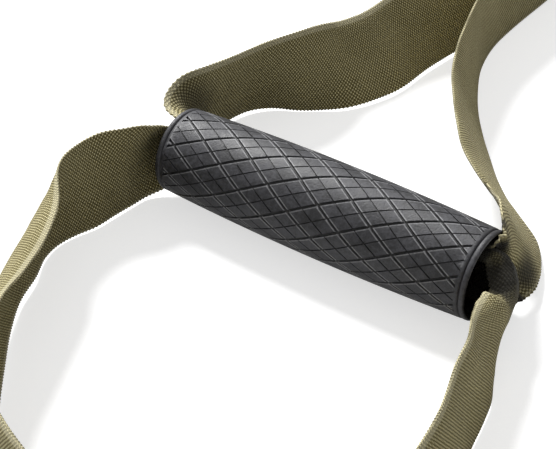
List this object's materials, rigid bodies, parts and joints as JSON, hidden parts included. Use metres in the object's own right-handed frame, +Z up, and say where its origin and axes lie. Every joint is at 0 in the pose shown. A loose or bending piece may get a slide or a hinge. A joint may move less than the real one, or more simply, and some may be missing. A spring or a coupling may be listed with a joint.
{
  "type": "suspension trainer",
  "caption": "Suspension trainer laid flat: rubber grips with foot cradles on webbing triangles, adjusting straps in cam buckles, main strap folded for storage, carabiner.",
  "frame": {"origin": "on the floor, under the middle of the sewn patch where the main strap's two legs meet", "axes": "+X across, along both grips; +Y from the grips to the carabiner; +Z up from the floor"},
  "size_m": [0.4786, 1.0787, 0.0391],
  "materials": {
    "webbing": "matt plain-woven webbing",
    "grip_rubber": "satin moulded rubber with diamond grooves",
    "tube_plastic": "extruded plastic",
    "bush_plastic": "smooth black moulding",
    "tie_fabric": "black hook-and-loop band",
    "steel": "bright zinc-plated steel",
    "blackened_steel": "black-coated steel"
  },
  "bodies": {
    "straps": {"handle_strap_a": "webbing", "foot_cradle_a": "webbing", "handle_strap_b": "webbing", "foot_cradle_b": "webbing", "adjusting_strap_a": "webbing", "adjust_tab_a": "tie_fabric", "run_tie_a": "tie_fabric", "buckle_frame_a": "steel", "cam_pin_a": "steel", "strap_bar_a": "steel", "adjusting_strap_b": "webbing", "adjust_tab_b": "tie_fabric", "run_tie_b": "tie_fabric", "buckle_frame_b": "steel", "cam_pin_b": "steel", "strap_bar_b": "steel", "main_strap": "webbing", "carabiner_body": "steel", "gate_pin": "steel"},
    "grip_a": {"grip_sleeve_a": "grip_rubber", "core_tube_a": "tube_plastic", "mouth_bush_left_a": "bush_plastic", "mouth_bush_right_a": "bush_plastic"},
    "cam_a": {"cam_lever_a": "blackened_steel", "cam_spring_a": "steel"},
    "grip_b": {"grip_sleeve_b": "grip_rubber", "core_tube_b": "tube_plastic", "mouth_bush_left_b": "bush_plastic", "mouth_bush_right_b": "bush_plastic"},
    "cam_b": {"cam_lever_b": "blackened_steel", "cam_spring_b": "steel"},
    "gate": {"carabiner_gate": "steel"}
  },
  "joints": [
    {"name": "grip_spin_a", "type": "hinge", "parent": "straps", "child": "grip_a", "pos_m": [-0.15, -0.746, 0.0198], "axis": [1, 0, 0], "continuous": true},
    {"name": "cam_turn_a", "type": "hinge", "parent": "straps", "child": "cam_a", "pos_m": [-0.10731, -0.30857, 0.0111], "axis": [0.9365, -0.3507, 0], "range_deg": [0, 22], "stiffness_Nm_per_rad": 0.06, "springref_deg": -20.05},
    {"name": "grip_spin_b", "type": "hinge", "parent": "straps", "child": "grip_b", "pos_m": [0.15, -0.746, 0.0198], "axis": [1, 0, 0], "continuous": true},
    {"name": "cam_turn_b", "type": "hinge", "parent": "straps", "child": "cam_b", "pos_m": [0.10731, -0.30857, 0.0111], "axis": [0.9365, 0.3507, 0], "range_deg": [0, 22], "stiffness_Nm_per_rad": 0.06, "springref_deg": -20.05},
    {"name": "gate_swing", "type": "hinge", "parent": "straps", "child": "gate", "pos_m": [0.03, 0.07049, 0.00678], "axis": [0, 0.023, 0.9997], "range_deg": [0, 25], "stiffness_Nm_per_rad": 0.08, "springref_deg": -17.19}
  ]
}
